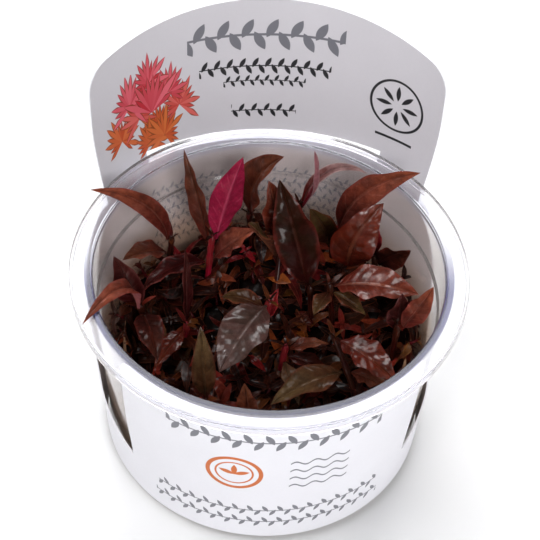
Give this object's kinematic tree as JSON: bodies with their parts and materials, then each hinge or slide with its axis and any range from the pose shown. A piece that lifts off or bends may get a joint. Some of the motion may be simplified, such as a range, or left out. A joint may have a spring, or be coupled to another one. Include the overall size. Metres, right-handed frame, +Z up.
{
  "type": "potted red aquarium plant in a clear tissue-culture cup",
  "caption": "Red-leaved aquarium stem plant growing from gel in a clear round cup with a flanged mouth, wrapped by a card sleeve with a tall arched header.",
  "frame": {"origin": "centre of the cup's flat underside, on the surface that it stands on", "axes": "+Z up along the cup's axis; the card's tall header stands at +Y and its front panel faces -Y; +X to the right seen from the front"},
  "size_m": [0.1, 0.1028, 0.1015],
  "materials": {
    "clear_cup": "clear moulded plastic, glossy",
    "card": "thin coated card, satin",
    "gel": "cloudy wet gel",
    "stem": "wet crimson stem",
    "undergrowth": "wet dark red-brown small leaves",
    "leaf_crimson": "wet crimson leaf",
    "leaf_olive": "wet olive-brown leaf",
    "leaf_brown": "wet dark brown leaf",
    "leaf_brick": "wet brick-red leaf",
    "leaf_mauve": "wet mauve-grey leaf",
    "leaf_ochre": "wet ochre leaf"
  },
  "bodies": {
    "root": {"cup": "clear_cup", "label": "card", "growing_gel": "gel", "undergrowth": "undergrowth", "stem_west_back": "stem", "stem_west": "stem", "stem_back_left": "stem", "stem_back": "stem", "stem_heart": "stem", "stem_centre": "stem", "stem_back_right": "stem", "stem_right_back": "stem", "stem_right_middle": "stem", "stem_right": "stem", "stem_far_right": "stem", "stem_east": "stem", "stem_front_right": "stem", "stem_front_middle": "stem", "stem_front": "stem", "stem_front_left": "stem", "stem_left": "stem", "stem_middle": "stem", "leaf_spire": "leaf_crimson", "leaf_flame": "leaf_crimson", "leaf_bow": "leaf_crimson", "leaf_cherry": "leaf_crimson", "leaf_tower": "leaf_olive", "leaf_boat": "leaf_olive", "leaf_lance": "leaf_olive", "leaf_star_left": "leaf_olive", "leaf_star_right": "leaf_olive", "leaf_side_olive": "leaf_olive", "leaf_twig": "leaf_olive", "leaf_shade_back": "leaf_olive", "leaf_arch": "leaf_brown", "leaf_hook": "leaf_brown", "leaf_far_west": "leaf_brown", "leaf_sickle": "leaf_brown", "leaf_strap": "leaf_brown", "leaf_curl": "leaf_brown", "leaf_west_tip": "leaf_brown", "leaf_east_wall": "leaf_brown", "leaf_ember_low": "leaf_brown", "leaf_shade_east": "leaf_brown", "leaf_shade_west": "leaf_brown", "leaf_sail": "leaf_brick", "leaf_over_rim": "leaf_brick", "leaf_wet": "leaf_brick", "leaf_brick": "leaf_brick", "leaf_drape": "leaf_brick", "leaf_low_left": "leaf_brick", "leaf_gloss": "leaf_mauve", "leaf_ribbon": "leaf_mauve", "leaf_pale": "leaf_mauve", "leaf_west_mauve": "leaf_mauve", "leaf_east_mauve": "leaf_mauve", "leaf_ember": "leaf_ochre", "leaf_thumb": "leaf_ochre", "leaf_bud": "leaf_ochre", "leaf_rust": "leaf_ochre"}
  },
  "joints": []
}
